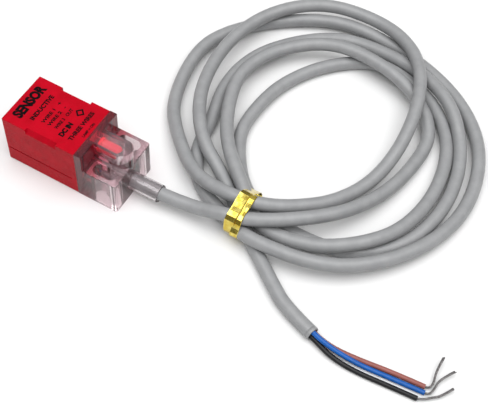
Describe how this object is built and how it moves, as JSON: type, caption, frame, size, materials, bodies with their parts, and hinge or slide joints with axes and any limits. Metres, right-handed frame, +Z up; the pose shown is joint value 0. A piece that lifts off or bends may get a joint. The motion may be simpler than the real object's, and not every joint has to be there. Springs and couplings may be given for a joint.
{
  "type": "inductive proximity sensor",
  "caption": "Square inductive proximity sensor with a red case, a clear slotted rear cap and a tied coil of grey cable with stripped cores.",
  "frame": {"origin": "middle of the sensor body's underside, which lies on the surface", "axes": "+X from the sensing face to the cable, +Z up through the lamp dome, +Y to the right for someone who looks from the cable's side towards the sensing face"},
  "size_m": [0.1416, 0.1121, 0.018],
  "materials": {
    "red_plastic": "semi-gloss moulded",
    "clear_plastic": "clear, faintly pink, polished",
    "clear_pvc": "clear soft tube",
    "red_lens": "tinted translucent",
    "grey_pvc": "satin",
    "brown_pvc": "satin",
    "blue_pvc": "satin",
    "black_pvc": "satin",
    "tinned_copper": "fine strands, dull tin",
    "gold_foil": "creased metallic foil",
    "ferrite": "matt sintered",
    "natural_nylon": "matt",
    "enamelled_copper": "lacquered wire",
    "board_laminate": "green solder mask",
    "black_epoxy": "moulded",
    "solder_tin": "tinned",
    "ceramic": "fired",
    "tantalum_case": "moulded",
    "potting": "cast resin, dark"
  },
  "bodies": {
    "root": {"front_case": "red_plastic", "rear_cap": "clear_plastic", "ferrite_core": "ferrite", "coil_bobbin": "natural_nylon", "coil_winding": "enamelled_copper", "coil_leads": "enamelled_copper", "circuit_board": "board_laminate", "oscillator_ic": "black_epoxy", "ic_legs": "solder_tin", "output_transistor": "black_epoxy", "transistor_legs": "solder_tin", "protection_diode": "black_epoxy", "diode_tabs": "solder_tin", "filter_capacitor": "tantalum_case", "chip_resistors": "black_epoxy", "chip_capacitors": "ceramic", "indicator_lamp": "red_lens", "lamp_leads": "solder_tin", "brown_inner_core": "brown_pvc", "blue_inner_core": "blue_pvc", "black_inner_core": "black_pvc", "potting_resin": "potting", "strain_relief_sleeve": "clear_pvc", "cord_lead": "grey_pvc", "cord_coil": "grey_pvc", "cord_tail": "grey_pvc", "twist_tie": "gold_foil", "tie_end": "tinned_copper", "brown_core": "brown_pvc", "blue_core": "blue_pvc", "black_core": "black_pvc", "brown_strands": "tinned_copper", "blue_strands": "tinned_copper", "black_strands": "tinned_copper"}
  },
  "joints": []
}
